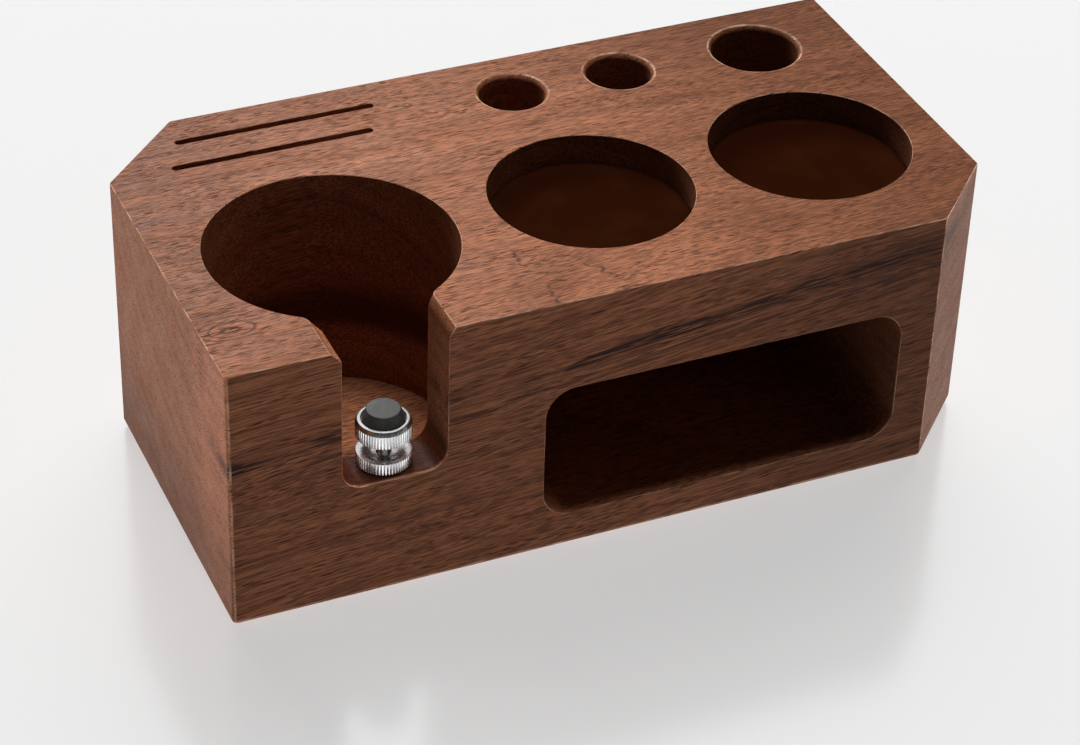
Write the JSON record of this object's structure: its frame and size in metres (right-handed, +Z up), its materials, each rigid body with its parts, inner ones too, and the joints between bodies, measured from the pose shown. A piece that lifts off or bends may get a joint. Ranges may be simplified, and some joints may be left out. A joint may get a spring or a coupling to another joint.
{
  "type": "portafilter tamping station",
  "caption": "Low wooden block with a round well and open neck slot for a portafilter, an adjustable rest in the slot, tamper recesses, tool holes, card slots and a front storage bay.",
  "frame": {"origin": "middle of the block's footprint, on the surface that its feet stand on", "axes": "+X along the front to the right as seen from the front, the longest side; +Y from front to back; +Z up, the shortest side"},
  "size_m": [0.2388, 0.1282, 0.0858],
  "materials": {
    "walnut": "oiled, satin, with open grain",
    "liner": "smooth, matt",
    "foot_rubber": "matt",
    "brass": "machined",
    "steel": "turned",
    "chrome": "polished, knurled round the rim",
    "pad_rubber": "smooth, matt"
  },
  "bodies": {
    "block": {"wood_block": "walnut", "tamper_liner_left": "liner", "tamper_liner_right": "liner", "foot_front_left": "foot_rubber", "foot_front_right": "foot_rubber", "foot_rear_left": "foot_rubber", "foot_rear_right": "foot_rubber", "threaded_insert": "brass"},
    "rest_lift": {"support_pad": "pad_rubber"},
    "rest_screw": {"support_head": "chrome", "support_stud": "steel"},
    "nut_lift": {"lock_washer": "steel"},
    "nut_turn": {"lock_nut": "chrome"}
  },
  "joints": [
    {"name": "support_lift", "type": "slide", "parent": "block", "child": "rest_lift", "axis": [0, 0, 1], "range_m": [-0.0029, 0.0071]},
    {"name": "support_turn", "type": "hinge", "parent": "rest_lift", "child": "rest_screw", "pos_m": [-0.0713, -0.0547, 0.0483], "axis": [0, 0, 1], "range_deg": [-1440, 3600]},
    {"name": "lock_nut_lift", "type": "slide", "parent": "block", "child": "nut_lift", "axis": [0, 0, 1], "range_m": [0, 0.00145]},
    {"name": "lock_nut_turn", "type": "hinge", "parent": "nut_lift", "child": "nut_turn", "pos_m": [-0.0713, -0.0547, 0.0395], "axis": [0, 0, 1], "range_deg": [0, 720]}
  ],
  "couplings": [
    {"joint": "support_lift", "follows": "support_turn", "m_per_rad": 0.00011141},
    {"joint": "lock_nut_lift", "follows": "lock_nut_turn", "m_per_rad": 0.00011141}
  ]
}
